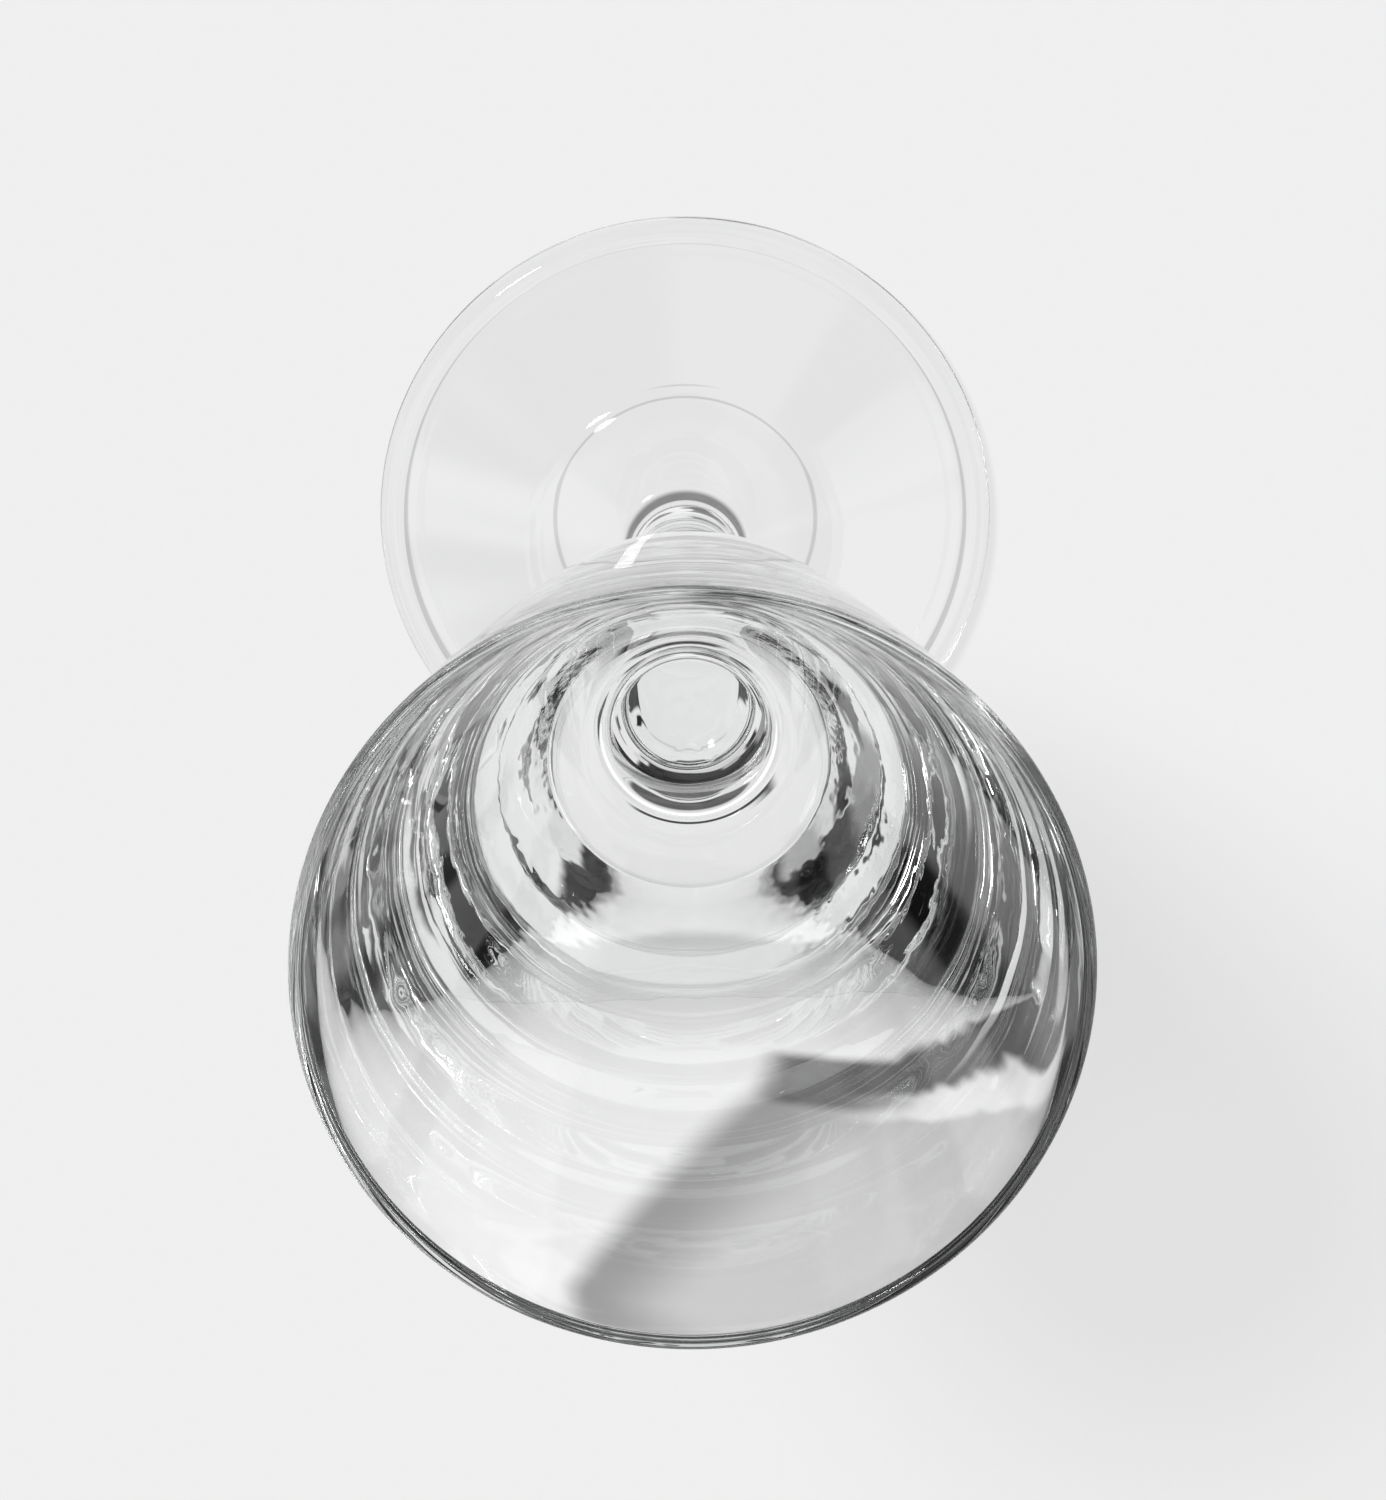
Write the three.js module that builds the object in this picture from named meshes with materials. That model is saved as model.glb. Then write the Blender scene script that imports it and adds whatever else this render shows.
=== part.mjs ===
// Liqueur glass: a small tapered bowl with a thick base, a plain drawn stem and a hollow domed foot.
// Millimetres, +Z up. The origin is the middle of the plane that the foot stands on.
import * as THREE from 'three';

// Foot: a round edge, a steep skirt up to a ridge, then a flatter crown that sweeps up into the stem
const FOOT_DIAMETER = 50.4;
const FOOT_EDGE = 2.8;
const EDGE_WRAP = THREE.MathUtils.degToRad(25);
const SKIRT_ANGLE = THREE.MathUtils.degToRad(37);
const RIDGE_DIAMETER = 25.8;
const CROWN_ANGLE = THREE.MathUtils.degToRad(20);
const FOOT_WALL = 2.6;
const FOOT_FILLET = 1.9;

// Stem: a solid rod, a little thicker under the bowl and drawn in halfway up
const STEM_DIAMETER = 8.8;
const STEM_TOP_DIAMETER = 9.4;
const STEM_WAIST = 0.3;
const STEM_LENGTH = 35.5;

// Bowl outside: the stem flares into a round shoulder and a nearly straight wall
const BOWL_HEIGHT = 64.9;
const BOWL_FLARE = 5.4;
const SHOULDER_DIAMETER = 27.8;
const SHOULDER_RISE = 6.0;
const SHOULDER_ROUND = 6.2;
const RIM_DIAMETER = 52.0;
const WALL_BULGE = 0.3;

// Bowl inside: a flat-bottomed well in a thick base, widening to a thin lip
const LIP_THICKNESS = 0.9;
const BASE_THICKNESS = 13.4;
const WELL_DIAMETER = 14.4;
const WELL_ROUND = 1.6;
const WELL_BULGE = 1.7;

// Steps along a long curve and along a small round, and round the axis
const CURVE_STEPS = 10;
const ROUND_STEPS = 6;
const TURN_STEPS = 60;

const QUARTER_TURN = Math.PI / 2;
const stemRadius = STEM_DIAMETER / 2;
const stemTopRadius = STEM_TOP_DIAMETER / 2;

function clearGlass() {
  return new THREE.MeshStandardMaterial({
    color: 0xeef0f0,
    roughness: 0.03,
    metalness: 0,
    transparent: true,
    opacity: 0.35,
  });
}

// Middle control point of a curve from start to end that stands out from the straight line by bulge
function bulgeControl(start, end, bulge) {
  const along = end.clone().sub(start).normalize();
  const outward = new THREE.Vector2(along.y, -along.x);
  return start.clone().lerp(end, 0.5).addScaledVector(outward, 2 * bulge);
}

function toward(start, end, distance) {
  return end.clone().sub(start).setLength(distance).add(start);
}

function quadratic(start, control, end, steps) {
  return new THREE.QuadraticBezierCurve(start, control, end).getPoints(steps);
}

function arc(centre, radius, from, to, clockwise) {
  return new THREE.EllipseCurve(centre.x, centre.y, radius, radius, from, to, clockwise).getPoints(ROUND_STEPS);
}

// Turns a half section, given from the lower axis point round the outside to the upper one
function turned(name, section) {
  const geometry = new THREE.LatheGeometry(section, TURN_STEPS);
  geometry.rotateX(QUARTER_TURN);
  const mesh = new THREE.Mesh(geometry, clearGlass());
  mesh.name = name;
  return mesh;
}

// Foot section, with radius in x and height above the table in y
const edgeRadius = FOOT_EDGE / 2;
const edgeCentre = new THREE.Vector2(FOOT_DIAMETER / 2 - edgeRadius, edgeRadius);
const edgeRound = [
  ...arc(edgeCentre, edgeRadius, -QUARTER_TURN, 0, false).slice(0, -1),
  ...arc(edgeCentre, edgeRadius, 0, QUARTER_TURN + EDGE_WRAP, false),
];
const groove = edgeRound[edgeRound.length - 1];
const ridgeRadius = RIDGE_DIAMETER / 2;
const ridgeHeight = groove.y + (groove.x - ridgeRadius) * Math.tan(SKIRT_ANGLE);
const ridge = new THREE.Vector2(ridgeRadius, ridgeHeight);
const sweepStart = stemRadius + FOOT_FILLET * (1 - Math.sin(CROWN_ANGLE));
const sweepHeight = ridge.y + (ridge.x - sweepStart) * Math.tan(CROWN_ANGLE);
const footHeight = sweepHeight + FOOT_FILLET * Math.cos(CROWN_ANGLE);
const sweepCentre = new THREE.Vector2(stemRadius + FOOT_FILLET, footHeight);
const footSweep = arc(sweepCentre, FOOT_FILLET, 3 * QUARTER_TURN - CROWN_ANGLE, 2 * QUARTER_TURN, true);

// The hollow runs parallel to the skirt and the crown, one wall below them, and is round at the top
const skirtDrop = FOOT_WALL / Math.cos(SKIRT_ANGLE);
const crownDrop = FOOT_WALL / Math.cos(CROWN_ANGLE);
const slopeChange = Math.tan(SKIRT_ANGLE) - Math.tan(CROWN_ANGLE);
const hollowRidgeRadius = ridge.x - (skirtDrop - crownDrop) / slopeChange;
const hollowRidgeHeight = ridge.y + (ridge.x - hollowRidgeRadius) * Math.tan(CROWN_ANGLE) - crownDrop;
const hollowRidge = new THREE.Vector2(hollowRidgeRadius, hollowRidgeHeight);
const standingInside = hollowRidge.x + hollowRidge.y / Math.tan(SKIRT_ANGLE);
const hollowMiddle = hollowRidge.x / 2;
const hollowTop = hollowRidge.y + (hollowRidge.x - hollowMiddle) * Math.tan(CROWN_ANGLE);
const hollowCrown = quadratic(
  new THREE.Vector2(0, hollowTop),
  new THREE.Vector2(hollowMiddle, hollowTop),
  hollowRidge,
  ROUND_STEPS,
);

const foot = turned('foot', [
  ...hollowCrown,
  new THREE.Vector2(standingInside, 0),
  ...edgeRound,
  ridge,
  ...footSweep,
  new THREE.Vector2(0, footHeight),
]);

// Stem section, from its seat on the foot to its seat under the bowl
const stemBottom = new THREE.Vector2(stemRadius, 0);
const stemTop = new THREE.Vector2(stemTopRadius, STEM_LENGTH);
const stem = turned('stem', [
  new THREE.Vector2(0, 0),
  ...quadratic(stemBottom, bulgeControl(stemBottom, stemTop, -STEM_WAIST), stemTop, CURVE_STEPS),
  new THREE.Vector2(0, STEM_LENGTH),
]);
stem.position.z = footHeight;

// Bowl section, with height above the bowl's seat on the stem in y
const lipRadius = LIP_THICKNESS / 2;
const lipCentre = new THREE.Vector2(RIM_DIAMETER / 2 - lipRadius, BOWL_HEIGHT - lipRadius);
const lip = arc(lipCentre, lipRadius, 0, 2 * QUARTER_TURN, false);
const lipOutside = lip[0];
const lipInside = lip[lip.length - 1];
const shoulder = new THREE.Vector2(SHOULDER_DIAMETER / 2, SHOULDER_RISE);

// The flare ends where it points straight at the shoulder, and the shoulder's round starts there
const flareCentre = new THREE.Vector2(stemTopRadius + BOWL_FLARE, 0);
const flareReach = flareCentre.distanceTo(shoulder);
const undersideAngle = shoulder.clone().sub(flareCentre).angle() - Math.asin(BOWL_FLARE / flareReach);
const flare = arc(flareCentre, BOWL_FLARE, 2 * QUARTER_TURN, QUARTER_TURN + undersideAngle, true);
const flareEnd = flare[flare.length - 1];
const wallControl = bulgeControl(shoulder, lipOutside, WALL_BULGE);
const shoulderEnd = toward(shoulder, wallControl, SHOULDER_ROUND);

const wellCorner = new THREE.Vector2(WELL_DIAMETER / 2, BASE_THICKNESS);
const wellControl = bulgeControl(wellCorner, lipInside, WELL_BULGE);
const wellEnd = toward(wellCorner, wellControl, WELL_ROUND);
const wellMiddle = new THREE.Vector2(0, BASE_THICKNESS);
const wellFloorEdge = toward(wellCorner, wellMiddle, WELL_ROUND);

const bowl = turned('bowl', [
  new THREE.Vector2(0, 0),
  ...flare.slice(0, -1),
  ...quadratic(flareEnd, shoulder, shoulderEnd, CURVE_STEPS),
  ...quadratic(shoulderEnd, wallControl, lipOutside, CURVE_STEPS).slice(1, -1),
  ...lip,
  ...quadratic(lipInside, wellControl, wellEnd, CURVE_STEPS).slice(1, -1),
  ...quadratic(wellEnd, wellCorner, wellFloorEdge, ROUND_STEPS),
  wellMiddle,
]);
bowl.position.z = footHeight + STEM_LENGTH;

const glass = new THREE.Group();
glass.name = 'liqueur_glass';
glass.add(foot, stem, bowl);

export default glass;
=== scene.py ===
import math

import bmesh
import bpy
from mathutils import Matrix, Vector


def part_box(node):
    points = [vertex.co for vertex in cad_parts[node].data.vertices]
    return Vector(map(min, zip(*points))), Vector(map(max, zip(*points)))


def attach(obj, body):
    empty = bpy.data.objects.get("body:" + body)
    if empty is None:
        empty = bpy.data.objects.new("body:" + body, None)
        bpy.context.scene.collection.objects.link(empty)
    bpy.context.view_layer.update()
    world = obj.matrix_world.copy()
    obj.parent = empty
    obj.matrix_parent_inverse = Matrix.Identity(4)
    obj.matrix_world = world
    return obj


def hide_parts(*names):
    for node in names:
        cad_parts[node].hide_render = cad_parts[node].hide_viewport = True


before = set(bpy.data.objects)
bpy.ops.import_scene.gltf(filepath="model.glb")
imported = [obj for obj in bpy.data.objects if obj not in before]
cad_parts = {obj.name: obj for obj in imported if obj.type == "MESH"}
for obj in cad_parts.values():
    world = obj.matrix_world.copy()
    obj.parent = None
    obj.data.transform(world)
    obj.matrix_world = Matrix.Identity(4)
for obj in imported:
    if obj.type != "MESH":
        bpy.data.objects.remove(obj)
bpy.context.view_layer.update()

MM = 0.001
TO_MM = 1 / MM
DEGREES = 180 / math.pi

# Camera, fitted to the ellipses of the rim and of the foot's edge in the photograph
EYE = Vector((-1.968, 126.312, 470.898)) * MM
AIM = Vector((0.320, -2.019, 60.0)) * MM
SENSOR_WIDTH = 36
LENS = 140.92

# Lamp that casts the shadow, and the small softbox that glints in the glass
LAMP_WAY = Vector((0.31, -0.46, -0.83)).normalized()
LAMP_STRENGTH = 1.27
LAMP_ANGLE = math.radians(13)
SOFTBOX_WAY = Vector((-0.46, 0.42, 0.78)).normalized()
SOFTBOX_ANGLE = math.radians(4.5)
SOFTBOX_GLOW = 18
PLAIN_LIGHT = 0.65

# Floor sheet, in metres
FLOOR_HALF = 3
FLOOR_GAP = 0.0001

# Glass: steps round the axis, light that passes into its shadow, and how thick glass darkens
TURN_STEPS = 192
SHADOW_PASS = 0.80
DEPTH_COLOUR = (0.55, 0.6, 0.6, 1)
DEPTH_DENSITY = 2.5

# Shades of the surroundings as the glass shows them
PALE = 0.84
ROOM = 0.66
BLACK = 0.01

# Limits on what the Light Path node counts: first mirrorings alone, then bends and mirrorings together.
# A ray past TWICE has met two walls of glass, and one past IN_LIP has been caught in the lip.
MIRRORED = 0.5
TWICE = 3.5
DEEP = 4.5
IN_LIP = 7.5

# Painted patches on the floor round the glass: painted reflections of dark and pale surroundings that only
# the glass shows, in the order in which they are laid. Each row has the shade, the rays that show it, where
# it lies round the axis in degrees, and how far out in millimetres. Both places are given as start, end and
# softness.
FAR = 10000
PAINTED_PATCHES = [
    (BLACK, "mirrored", (148, 166, 3), (52, 92, 4)),
    (0.72, "mirrored once", (36, 52, 2), (58, 100, 5)),
    (0.42, "mirrored once", (122, 139, 3), (66, 104, 5)),
    (0.15, "mirrored from afar", (324, 336, 3), (38, 66, 3)),
    (0.35, "mirrored from afar", (305, 324, 4), (33, 42, 2)),
    (0.12, "mirrored", (1, 13, 2), (60, 82, 4)),
    (0.30, "mirrored", (0, 26, 3), (82, 96, 3)),
    (0.03, "mirrored", (326, 335, 2), (86, 104, 4)),
    (0.30, "mirrored", (160, 196, 5), (92, FAR, 6)),
    (0.32, "mirrored from afar", (183, 202, 4), (42, 56, 3)),
    (0.06, "mirrored", (186, 210, 4), (58, 115, 6)),
    (0.25, "mirrored", (225, 238, 3), (74, 100, 4)),
    (0.05, "twice", (238, 258, 3), (29.5, 34, 1)),
    (0.04, "deep", (100, 232, 10), (26, FAR, 4)),
]

# Painted shade on the floor under the foot, seen as dark marks in the foot, in the same form
PAINTED_FOOT_SHADE = [
    (0.07, "twice", (222, 334, 6), (3, 9, 0.8)),
    (0.03, "twice", (222, 243, 3), (13.5, 18, 0.8)),
]


class Wire:
    """One shader socket. Sums on it add Math nodes, and node() adds any other node of the same tree."""

    def __init__(self, tree, socket=None):
        self.tree = tree
        self.socket = socket

    def node(self, kind, settings=None, sockets=None, output=0):
        new = self.tree.nodes.new("ShaderNode" + kind)
        for name, value in (settings or {}).items():
            if name == "stops":
                set_stops(new.color_ramp, value)
            else:
                setattr(new, name, value)
        for name, value in (sockets or {}).items():
            put(self.tree, value, new.inputs[name])
        return Wire(self.tree, new.outputs[output] if new.outputs else None)

    def also(self, output):
        """Another output of the node that this socket belongs to."""
        return Wire(self.tree, self.socket.node.outputs[output])

    def axes(self):
        """The X, Y and Z of a vector."""
        first = self.node("SeparateXYZ", None, {0: self}, output="X")
        return first, first.also("Y"), first.also("Z")

    def maths(self, operation, first, second=0.0):
        return self.node("Math", {"operation": operation}, {0: first, 1: second})

    def above(self, limit):
        return self.maths("GREATER_THAN", self, limit)

    def limited(self):
        return self.node("Clamp", None, {"Value": self})

    def rising(self, start, end):
        """0 up to start and 1 from end on, with a smooth rise between them."""
        settings = {"interpolation_type": "SMOOTHSTEP"}
        return self.node("MapRange", settings, {"Value": self, "From Min": start, "From Max": end})

    def band(self, start, end, soft):
        """1 between start and end, and 0 outside them."""
        return self.rising(start - soft, start + soft) * (1 - self.rising(end - soft, end + soft))

    def painted(self, shade, mask):
        return self + mask * (shade - self)

    def __add__(self, other):
        return self.maths("ADD", self, other)

    def __radd__(self, other):
        return self.maths("ADD", other, self)

    def __sub__(self, other):
        return self.maths("SUBTRACT", self, other)

    def __rsub__(self, other):
        return self.maths("SUBTRACT", other, self)

    def __mul__(self, other):
        return self.maths("MULTIPLY", self, other)

    def __rmul__(self, other):
        return self.maths("MULTIPLY", other, self)


def put(tree, value, socket):
    if isinstance(value, Wire):
        tree.links.new(value.socket, socket)
    else:
        socket.default_value = value


def grey(shade):
    return (shade, shade, shade, 1)


def set_stops(ramp, stops):
    for element, (place, shade) in zip(ramp.elements, stops):
        element.position = place
        element.color = grey(shade)


def empty_tree(holder):
    holder.use_nodes = True
    holder.node_tree.nodes.clear()
    return Wire(holder.node_tree)


def compass(across, back):
    """Direction from the glass's axis in degrees: 0 is +X, 90 is +Y."""
    turn = back.maths("ARCTAN2", back, across) * DEGREES
    return turn + 360 * turn.maths("LESS_THAN", turn, 0.0)


def stretched_noise(place, upright, scale):
    """Noise that is drawn out along the height of the glass."""
    drawn = place.node("Mapping", {"vector_type": "POINT"}, {"Vector": place, "Scale": (1.0, 1.0, upright)})
    return place.node("TexNoise", None, {"Vector": drawn, "Scale": scale, "Detail": 1.0})


def clear_glass():
    """Clear glass, with faint upright waves in the bowl's wall and a slightly uneven thick base."""
    glass = bpy.data.materials.new("clear_glass")
    start = empty_tree(glass)
    place = start.node("TexCoord", output="Object")
    across, back, height = [axis * TO_MM for axis in place.axes()]
    outside = (across * across + back * back).rising(12.6 ** 2, 13.4 ** 2)
    front = compass(across, back).band(232, 308, 18)

    # The waves fade below the bowl, towards the lip and on the bowl's front
    flutes = stretched_noise(place, 0.17, 140.0)
    lines = stretched_noise(place, 0.06, 420.0)
    smooth_front = front * (0.6 + 0.38 * height.rising(78, 93))
    waves = (flutes + 0.09 * lines) * height.rising(52, 70) * (1 - smooth_front)
    waves = waves * (1 - height.rising(106, 111))
    wrinkles = start.node("TexNoise", None, {"Vector": place, "Scale": 500.0, "Detail": 1.0})
    shoulder = outside * height.band(55, 76, 3) * (1 - 0.9 * front)
    relief = waves + 0.3 * wrinkles * shoulder
    ripple = start.node("Bump", None, {"Strength": 0.45, "Distance": 0.00016, "Height": relief})

    film = start.node("TexNoise", None, {"Vector": place, "Scale": 60.0, "Detail": 4.0})
    tint = start.node(
        "Mix",
        {"data_type": "RGBA"},
        {0: film, 6: (0.985, 0.99, 0.99, 1), 7: (1, 1, 1, 1)},
        output=2,
    )
    body = start.node(
        "BsdfPrincipled",
        None,
        {
            "Base Color": tint,
            "Roughness": 0.001 + 0.004 * film,
            "Normal": ripple,
            "IOR": 1.5,
            "Transmission Weight": 1.0,
        },
    )
    passing = start.node("BsdfTransparent", None, {"Color": grey(SHADOW_PASS)})
    shadow_ray = start.node("LightPath", output="Is Shadow Ray")
    surface = start.node("MixShader", None, {0: shadow_ray, 1: body, 2: passing})
    depth = start.node("VolumeAbsorption", None, {"Color": DEPTH_COLOUR, "Density": DEPTH_DENSITY})
    start.node("OutputMaterial", None, {"Surface": surface, "Volume": depth})
    return glass


class Section:
    """Half section of the glass, drawn corner by corner in the plane of +X and +Z."""

    def __init__(self):
        self.mesh = bmesh.new()
        self.last = None
        self.rounds = []

    def corner(self, radius, height, rounded=0.0, steps=0):
        """Corner in millimetres, with the size and the steps of its round."""
        vert = self.mesh.verts.new((radius * MM, 0, height * MM))
        if self.last:
            self.mesh.edges.new((self.last, vert))
        self.last = vert
        if rounded:
            self.rounds.append((vert, rounded * MM, steps))

    def turned(self, name, material):
        for vert, rounded, segments in self.rounds:
            bmesh.ops.bevel(
                self.mesh,
                geom=[vert],
                offset=rounded,
                offset_type="OFFSET",
                segments=segments,
                profile=0.5,
                affect="VERTICES",
                material=-1,
                clamp_overlap=True,
            )
        bmesh.ops.spin(
            self.mesh,
            geom=self.mesh.verts[:] + self.mesh.edges[:],
            cent=(0, 0, 0),
            axis=(0, 0, 1),
            angle=2 * math.pi,
            steps=TURN_STEPS,
            use_merge=True,
        )
        bmesh.ops.remove_doubles(self.mesh, verts=self.mesh.verts, dist=1e-7)
        bmesh.ops.recalc_face_normals(self.mesh, faces=self.mesh.faces)
        for face in self.mesh.faces:
            face.smooth = True
        return finished(self.mesh, name, material)


def finished(mesh, name, material):
    data = bpy.data.meshes.new(name)
    mesh.to_mesh(data)
    mesh.free()
    data.materials.append(material)
    piece = bpy.data.objects.new(name, data)
    bpy.context.scene.collection.objects.link(piece)
    return piece


def glass_skin(material):
    """The whole glass as one skin, because the bowl, stem and foot are welded into one piece of glass."""
    foot_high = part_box("foot")[1]
    bowl_low, bowl_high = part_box("bowl")
    foot_edge = foot_high.x / MM
    stem_foot = foot_high.z / MM
    bowl_seat = bowl_low.z / MM
    rim = bowl_high.x / MM
    top = bowl_high.z / MM
    hollow_top = 10.25
    edge_height = 2.8
    edge_round = 1.399
    lip = 0.9
    lip_round = 0.449
    well_floor = bowl_seat + 13.4

    skin = Section()
    # Hollow under the foot, from its crown down to the standing ring
    skin.corner(0, hollow_top)
    skin.corner(5.83, hollow_top, 5.6, 12)
    skin.corner(11.65, 8.13, 0.5, 4)
    skin.corner(22.43, 0, 0.25, 3)
    # Round edge, groove, skirt, ridge and crown
    skin.corner(foot_edge, 0, edge_round, 10)
    skin.corner(foot_edge, edge_height, edge_round, 10)
    skin.corner(foot_edge - 1.71, edge_height, 0.3, 4)
    skin.corner(23.21, 2.67, 0.25, 4)
    skin.corner(12.9, 10.44, 0.45, 6)
    skin.corner(4.4, stem_foot - 1.33, 1.33, 12)
    # Stem, drawn in halfway up, and the flare under the bowl
    skin.corner(3.95, (stem_foot + bowl_seat) / 2, 16, 24)
    skin.corner(4.7, bowl_seat + 4.68, 4.67, 24)
    # Shoulder and outer wall
    skin.corner(11.62, bowl_seat + 5.67, 2.23, 12)
    skin.corner(14.59, bowl_seat + 9.02, 2.23, 12)
    skin.corner(20.54, bowl_seat + 35.1, 22, 60)
    # Lip
    skin.corner(rim, top - lip / 2, 0.22, 3)
    skin.corner(rim, top, lip_round, 8)
    skin.corner(rim - lip, top, lip_round, 8)
    # Inner wall and the flat-bottomed well
    skin.corner(19.36, bowl_seat + 37.8, 24, 64)
    skin.corner(7.2, well_floor, 1.6, 12)
    skin.corner(0, well_floor)
    return skin.turned("glass_skin", material)


def laid(painted_shades, rows, rays, turn, reach):
    """Painted patches laid one after the other, each shown only to its own rays."""
    for shade, seen_by, around, out in rows:
        painted_shades = painted_shades.painted(shade, rays[seen_by] * turn.band(*around) * reach.band(*out))
    return painted_shades


def pale_paper():
    """Floor: pale matt paper. Through the glass it shows painted shades instead: painted reflections of
    dark and pale surroundings, and painted shadows, each picked by where a ray lands and by its path in the
    glass.
    """
    paper = bpy.data.materials.new("pale_paper")
    start = empty_tree(paper)
    place = start.node("TexCoord", output="Object")
    tooth = start.node("TexNoise", None, {"Vector": place, "Scale": 900.0, "Detail": 3.0})
    shade = start.node("ValToRGB", {"stops": [(0.0, 0.872), (1.0, 0.886)]}, {"Fac": tooth})
    matt = start.node("BsdfDiffuse", None, {"Color": shade})

    across, back, _ = [axis * TO_MM for axis in place.axes()]
    forward = -1 * back
    reach_squared = across * across + back * back
    reach = reach_squared.maths("SQRT", reach_squared)
    turn = compass(across, back)
    ray_depth = start.node("LightPath", output="Ray Depth")
    length = ray_depth.also("Ray Length") * TO_MM
    mirrored = (ray_depth - ray_depth.also("Transmission Depth")).above(MIRRORED)
    twice = ray_depth.above(TWICE)
    deep = ray_depth.above(DEEP)
    from_afar = length.rising(66, 72)
    rays = {
        "mirrored": mirrored,
        "mirrored once": mirrored * (1 - twice),
        "mirrored from afar": mirrored * from_afar,
        "twice": twice,
        "deep": deep,
    }

    # Painted reflections: pale in front, and black behind, further out towards the left
    painted_shades = PALE + (1 - PALE) * forward.rising(24, 34) * across.band(-22, 30, 6) * from_afar
    past_middle = turn - 92
    leftward = past_middle.maths("MAXIMUM", past_middle, 0.0)
    slanted_reach = reach - 0.76 * leftward
    painted_shades = painted_shades.painted(0.64, mirrored * turn.band(43, 150, 4) * reach.rising(27, 36))
    painted_shades = painted_shades.painted(BLACK, mirrored * turn.band(43, 171, 3) * slanted_reach.rising(44, 54))
    painted_shades = painted_shades.painted(BLACK, twice * turn.band(56, 148, 8) * (reach + 4 * deep).band(13.5, 58, 1.5))
    # Smaller painted patches round about, which break up into spots for rays from deep in the glass
    painted_shades = laid(painted_shades, PAINTED_PATCHES, rays, turn, reach)
    spots = start.node("TexNoise", None, {"Vector": place, "Scale": 28.0, "Detail": 1.0}).rising(0.46, 0.54)
    painted_shades = painted_shades * (1 - 0.9 * deep * (1 - spots))
    # Painted reflections that the lip shows: dark further out, with bright places at the back and at the
    # sides
    lip_back = 0.5 * turn.band(60, 120, 5) * reach.band(34, 50, 2)
    lip_sides = (0.75 * turn.band(176, 250, 6) + 0.6 * turn.band(290, 340, 6)) * reach.band(36, 88, 3)
    lip_floor = 0.75 - 0.72 * reach.rising(22, 30) + lip_back + lip_sides
    painted_shades = painted_shades.painted(lip_floor, ray_depth.above(IN_LIP))
    # Painted shadow of the glass, seen through the bowl in front on the right, with a dark strip and a
    # bright strip of painted light at its far end
    past_edge = (across - 2.6) * 0.924 - (back + 37) * 0.383
    right_end = 1 - across.rising(26, 32)
    painted_shadow_wedge = past_edge.rising(-1.3, 1.3) * forward.band(34, 72, 1) * right_end * from_afar
    painted_shades = painted_shades.painted(0.40, painted_shadow_wedge)
    painted_shades = painted_shades.painted(0.70, painted_shadow_wedge * past_edge.rising(1.5, 9))
    beyond = across * 0.456 + back * 0.89
    dark_strip = beyond.band(-31.2, -26.6, 0.6) * across.band(3.4, 30, 0.9)
    painted_light_strip = beyond.band(-32.3, -29.7, 0.5) * across.rising(6, 11) * right_end
    painted_shades = painted_shades.painted(0.17, dark_strip * from_afar)
    painted_shades = painted_shades.painted(1.05, painted_light_strip * from_afar)
    # Thin painted shadows of the standing ring and of the ridge, seen through the foot
    painted_shades = painted_shades.painted(0.58, reach.band(22.35, 23.15, 0.1) * (1 - turn.band(225, 315, 12)))
    painted_shades = painted_shades.painted(0.64, reach.band(10.0, 10.4, 0.08))
    # Painted shade: a thin dark line seen through the flare under the bowl
    under_flare = (length - 0.26 * reach).band(51, 52.9, 0.2)
    painted_shades = painted_shades.painted(0.05, turn.band(252, 303, 4) * reach.band(30.6, 34.6, 0.3) * under_flare)
    # Painted shadow on the floor under the stem, and the painted dark and bright marks seen in the foot
    slanting = length.rising(10.9, 12.2) * (1 - length.rising(14.4, 15.6))
    before_stem = back + 5.5
    painted_stem_shadow = 1 - (across * across + before_stem * before_stem).rising(14, 34)
    painted_shades = painted_shades.painted(0.26, slanting * painted_stem_shadow)
    painted_shades = laid(painted_shades, PAINTED_FOOT_SHADE, rays, turn, reach)
    painted_shades = painted_shades.painted(0.02, twice * across.band(4.3, 5.6, 0.2) * back.band(-0.8, 1.8, 0.3))
    low_skirt = reach.band(11.4, 17.5, 0.8) * (1 - length.rising(7.9, 8.5))
    painted_shades = painted_shades.painted(1.25, twice * (1 - deep) * turn.band(248, 292, 8) * low_skirt)

    # The painted shades glow on the floor, for rays that come through or off the glass only
    glow = start.node("Emission", None, {"Color": painted_shades, "Strength": 1.0})
    in_glass = (ray_depth.also("Is Transmission Ray") + ray_depth.also("Is Glossy Ray")).limited()
    surface = start.node("MixShader", None, {0: in_glass, 1: matt, 2: glow})
    start.node("OutputMaterial", None, {"Surface": surface})
    return paper


def floor_sheet(material):
    """Wide flat sheet, a hair below the plane that the foot stands on."""
    sheet = bmesh.new()
    bmesh.ops.create_grid(sheet, x_segments=1, y_segments=1, size=FLOOR_HALF)
    bmesh.ops.translate(sheet, vec=(0, 0, -FLOOR_GAP), verts=sheet.verts)
    piece = finished(sheet, "floor", material)
    return piece


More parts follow.
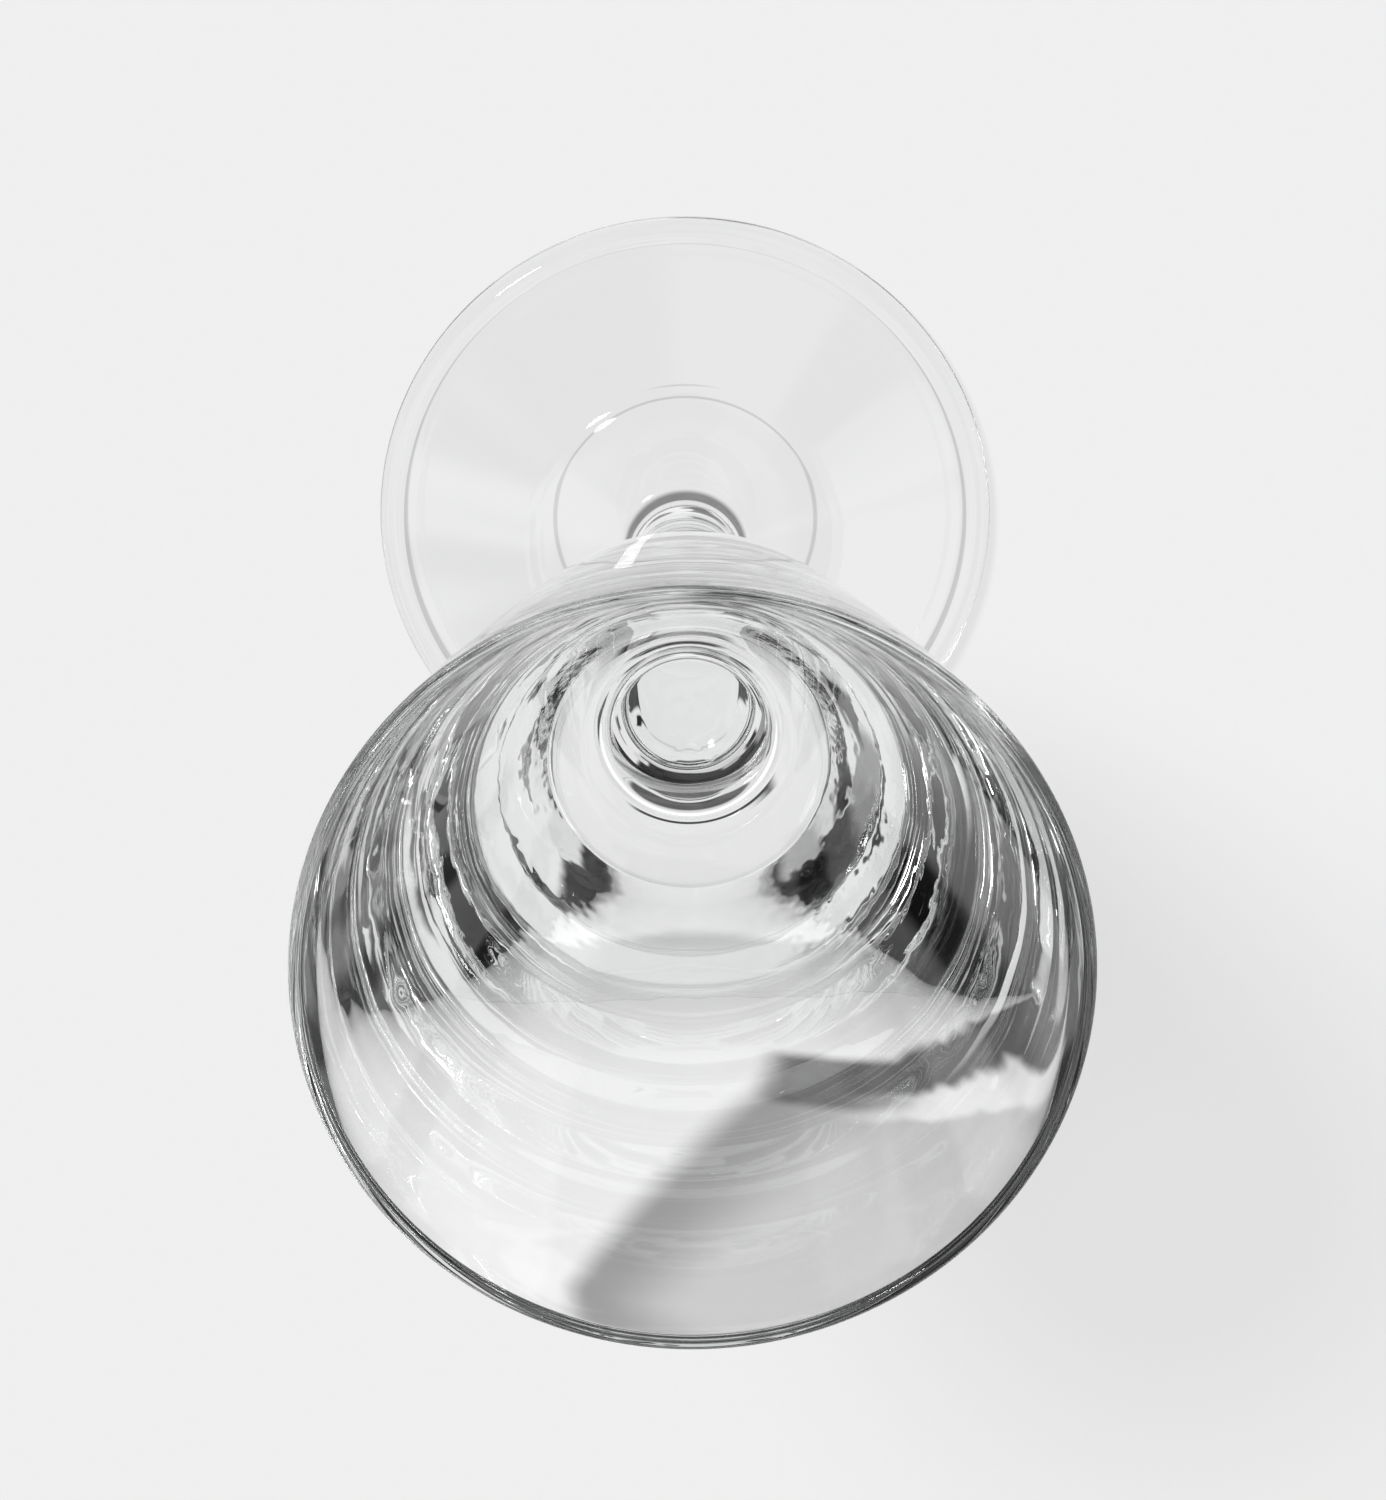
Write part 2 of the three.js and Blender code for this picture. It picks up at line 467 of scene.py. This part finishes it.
def studio_room():
    """World: plain light on the floor. The glass shows a room with a dark back and a softbox."""
    world = bpy.data.worlds.new("studio")
    bpy.context.scene.world = world
    world.cycles.sampling_method = "NONE"
    start = empty_tree(world)
    way = start.node("TexCoord", output="Generated")
    across, back, upward = way.axes()
    lift = upward.maths("ARCSINE", upward) * DEGREES
    turn = compass(across, back)
    ray_depth = start.node("LightPath", output="Ray Depth")
    mirrored = (ray_depth - ray_depth.also("Transmission Depth")).above(MIRRORED)
    deep = ray_depth.above(DEEP)

    # Darker behind, in uneven patches
    room = ROOM + (0.30 - ROOM) * turn.band(10, 165, 15)
    room = room.painted(0.02, turn.band(44, 172, 6) * (1 - lift.rising(18, 30)))
    room = room.painted(0.04, turn.band(96, 160, 8) * (1 - lift.rising(62, 72)))
    patches = start.node("TexNoise", None, {"Vector": way, "Scale": 1.9, "Detail": 1.0, "Distortion": 0.3})
    room = room * (0.08 + 1.35 * patches.rising(0.44, 0.56))
    # Bright gaps for rays from deep in the glass, and a grey ceiling for the others
    gaps = start.node("TexNoise", None, {"Vector": way, "Scale": 3.4, "Detail": 2.0}).rising(0.55, 0.6)
    room = room.painted(0.02 + 0.9 * gaps, deep * turn.band(40, 185, 20))
    room = room.painted(0.55, lift.rising(70, 80) * (1 - deep))
    # What the lip shows: dark, with bright places at the back, at the sides and low in front
    lip_back = 0.5 * turn.band(66, 128, 6) * lift.band(45, 60, 3)
    lip_sides = (0.8 * turn.band(138, 240, 8) + 0.6 * turn.band(305, 348, 6)) * lift.band(32, 76, 4)
    lip_room = 0.03 + lip_back + lip_sides
    lip_room = lip_room.painted(0.78, turn.band(205, 340, 8) * (1 - lift.rising(36, 44)))
    room = room.painted(lip_room, ray_depth.above(IN_LIP))
    # Rays that pass straight through the glass see a plain pale room
    room = room.painted(PALE, 1 - mirrored)

    to_softbox = {0: way, 1: SOFTBOX_WAY}
    near_softbox = start.node("VectorMath", {"operation": "DOT_PRODUCT"}, to_softbox, output="Value")
    softbox = near_softbox.above(math.cos(SOFTBOX_ANGLE))
    lit = start.node("Mix", {"data_type": "RGBA"}, {0: softbox, 6: room, 7: grey(SOFTBOX_GLOW)}, output=2)
    plain = (ray_depth.also("Diffuse Depth").limited() + ray_depth.also("Is Camera Ray")).limited()
    shade = start.node("Mix", {"data_type": "RGBA"}, {0: plain, 6: lit, 7: grey(PLAIN_LIGHT)}, output=2)
    surface = start.node("Background", None, {"Color": shade, "Strength": 1.0})
    start.node("OutputWorld", None, {"Surface": surface})


def placed(name, data):
    holder = bpy.data.objects.new(name, data)
    bpy.context.scene.collection.objects.link(holder)
    return holder


def shadow_lamp():
    lamp = bpy.data.lights.new("lamp", "SUN")
    lamp.energy = LAMP_STRENGTH
    lamp.angle = LAMP_ANGLE
    lamp.cycles.use_multiple_importance_sampling = False
    holder = placed("lamp", lamp)
    holder.rotation_euler = LAMP_WAY.to_track_quat("-Z", "Y").to_euler()
    return holder


def photo_camera():
    """Camera above the mouth, leaning as in the photograph. Its picture's top is towards +Y."""
    forward = (AIM - EYE).normalized()
    right = forward.cross(Vector((0, 1, 0))).normalized()
    up = right.cross(forward)
    camera = bpy.data.cameras.new("photo_camera")
    camera.sensor_width = SENSOR_WIDTH
    camera.lens = LENS
    camera.clip_start = 0.01
    holder = placed("photo_camera", camera)
    turn = Matrix((right, up, -forward)).transposed()
    holder.matrix_world = Matrix.Translation(EYE) @ turn.to_4x4()
    bpy.context.scene.camera = holder


photo_camera()
studio_room()
lamp = shadow_lamp()

skin = glass_skin(clear_glass())
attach(skin, "root")
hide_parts("bowl", "stem", "foot")
# Light that bounces off the floor doesn't see the glass, so the floor keeps an even shade
skin.visible_diffuse = False

# The lamp lights only the floor, where the glass casts its shadow. The glass glints from the softbox.
floor = floor_sheet(pale_paper())
lit_by_lamp = bpy.data.collections.new("lit_by_lamp")
lit_by_lamp.objects.link(floor)
lamp.light_linking.receiver_collection = lit_by_lamp

scene = bpy.context.scene
scene.view_settings.view_transform = "Standard"
scene.cycles.max_bounces = 40
scene.cycles.transmission_bounces = 40
scene.cycles.glossy_bounces = 16
scene.cycles.transparent_max_bounces = 24
scene.cycles.caustics_reflective = False
scene.cycles.caustics_refractive = True
